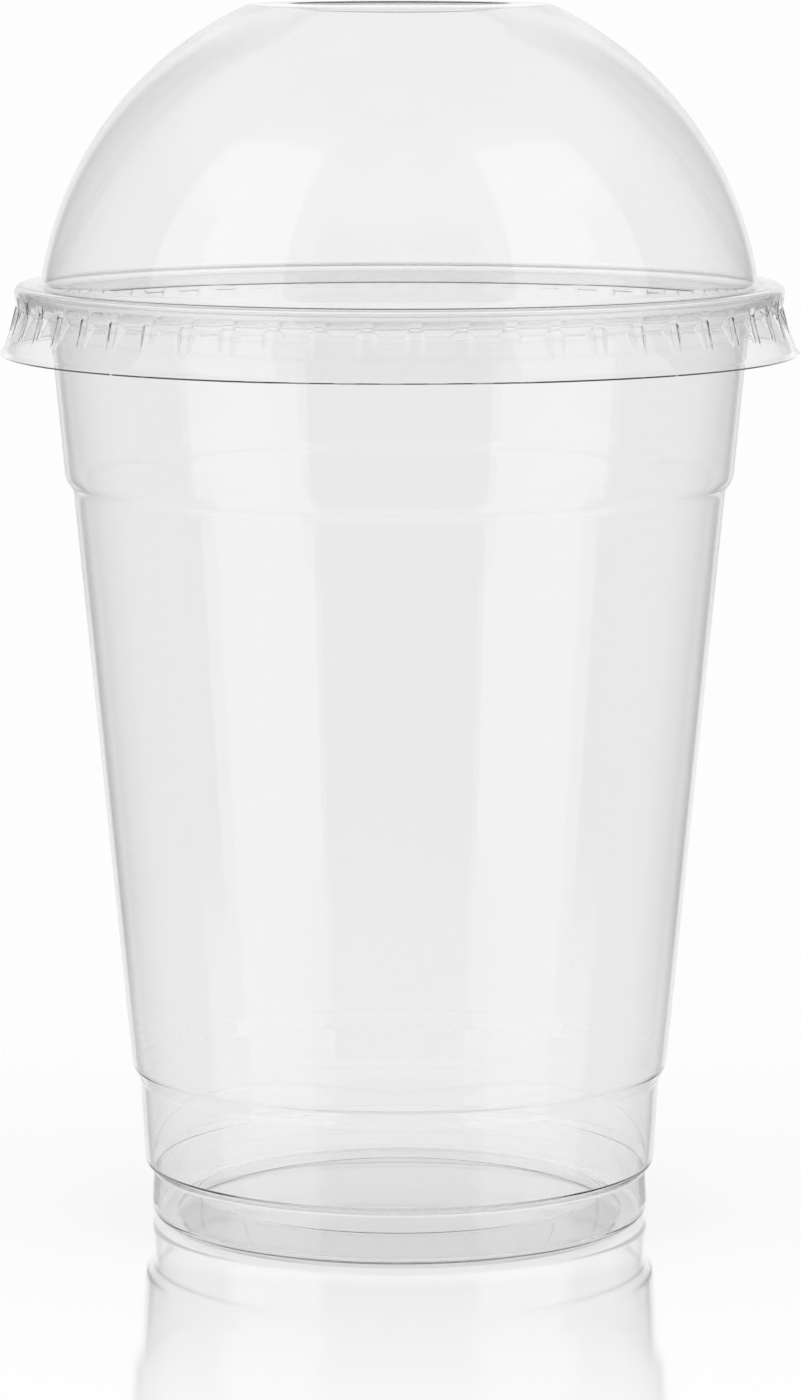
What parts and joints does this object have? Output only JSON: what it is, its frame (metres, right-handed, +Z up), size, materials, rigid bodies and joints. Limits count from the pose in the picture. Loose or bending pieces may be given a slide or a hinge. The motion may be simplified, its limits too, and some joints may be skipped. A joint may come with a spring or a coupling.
{
  "type": "plastic cup with lid",
  "caption": "Clear stepped takeaway cup with a rolled rim, closed by a clear domed snap lid with a round hole in its top and a ribbed skirt.",
  "frame": {"origin": "centre of the ring that the cup stands on, on the axis of the cup and the lid", "axes": "+Z up along the common axis, -Y towards the viewer of the picture, +X to the viewer's right"},
  "size_m": [0.1038, 0.1038, 0.1587],
  "materials": {
    "cup_plastic": "clear, glossy, thermoformed sheet",
    "lid_plastic": "clear, glossy, thermoformed sheet"
  },
  "bodies": {
    "cup": {"cup": "cup_plastic"},
    "lid": {"dome_lid": "lid_plastic"}
  },
  "joints": [
    {"name": "lid_lift", "type": "slide", "parent": "cup", "child": "lid", "axis": [0, 0, 1], "range_m": [0, 0.06]}
  ]
}
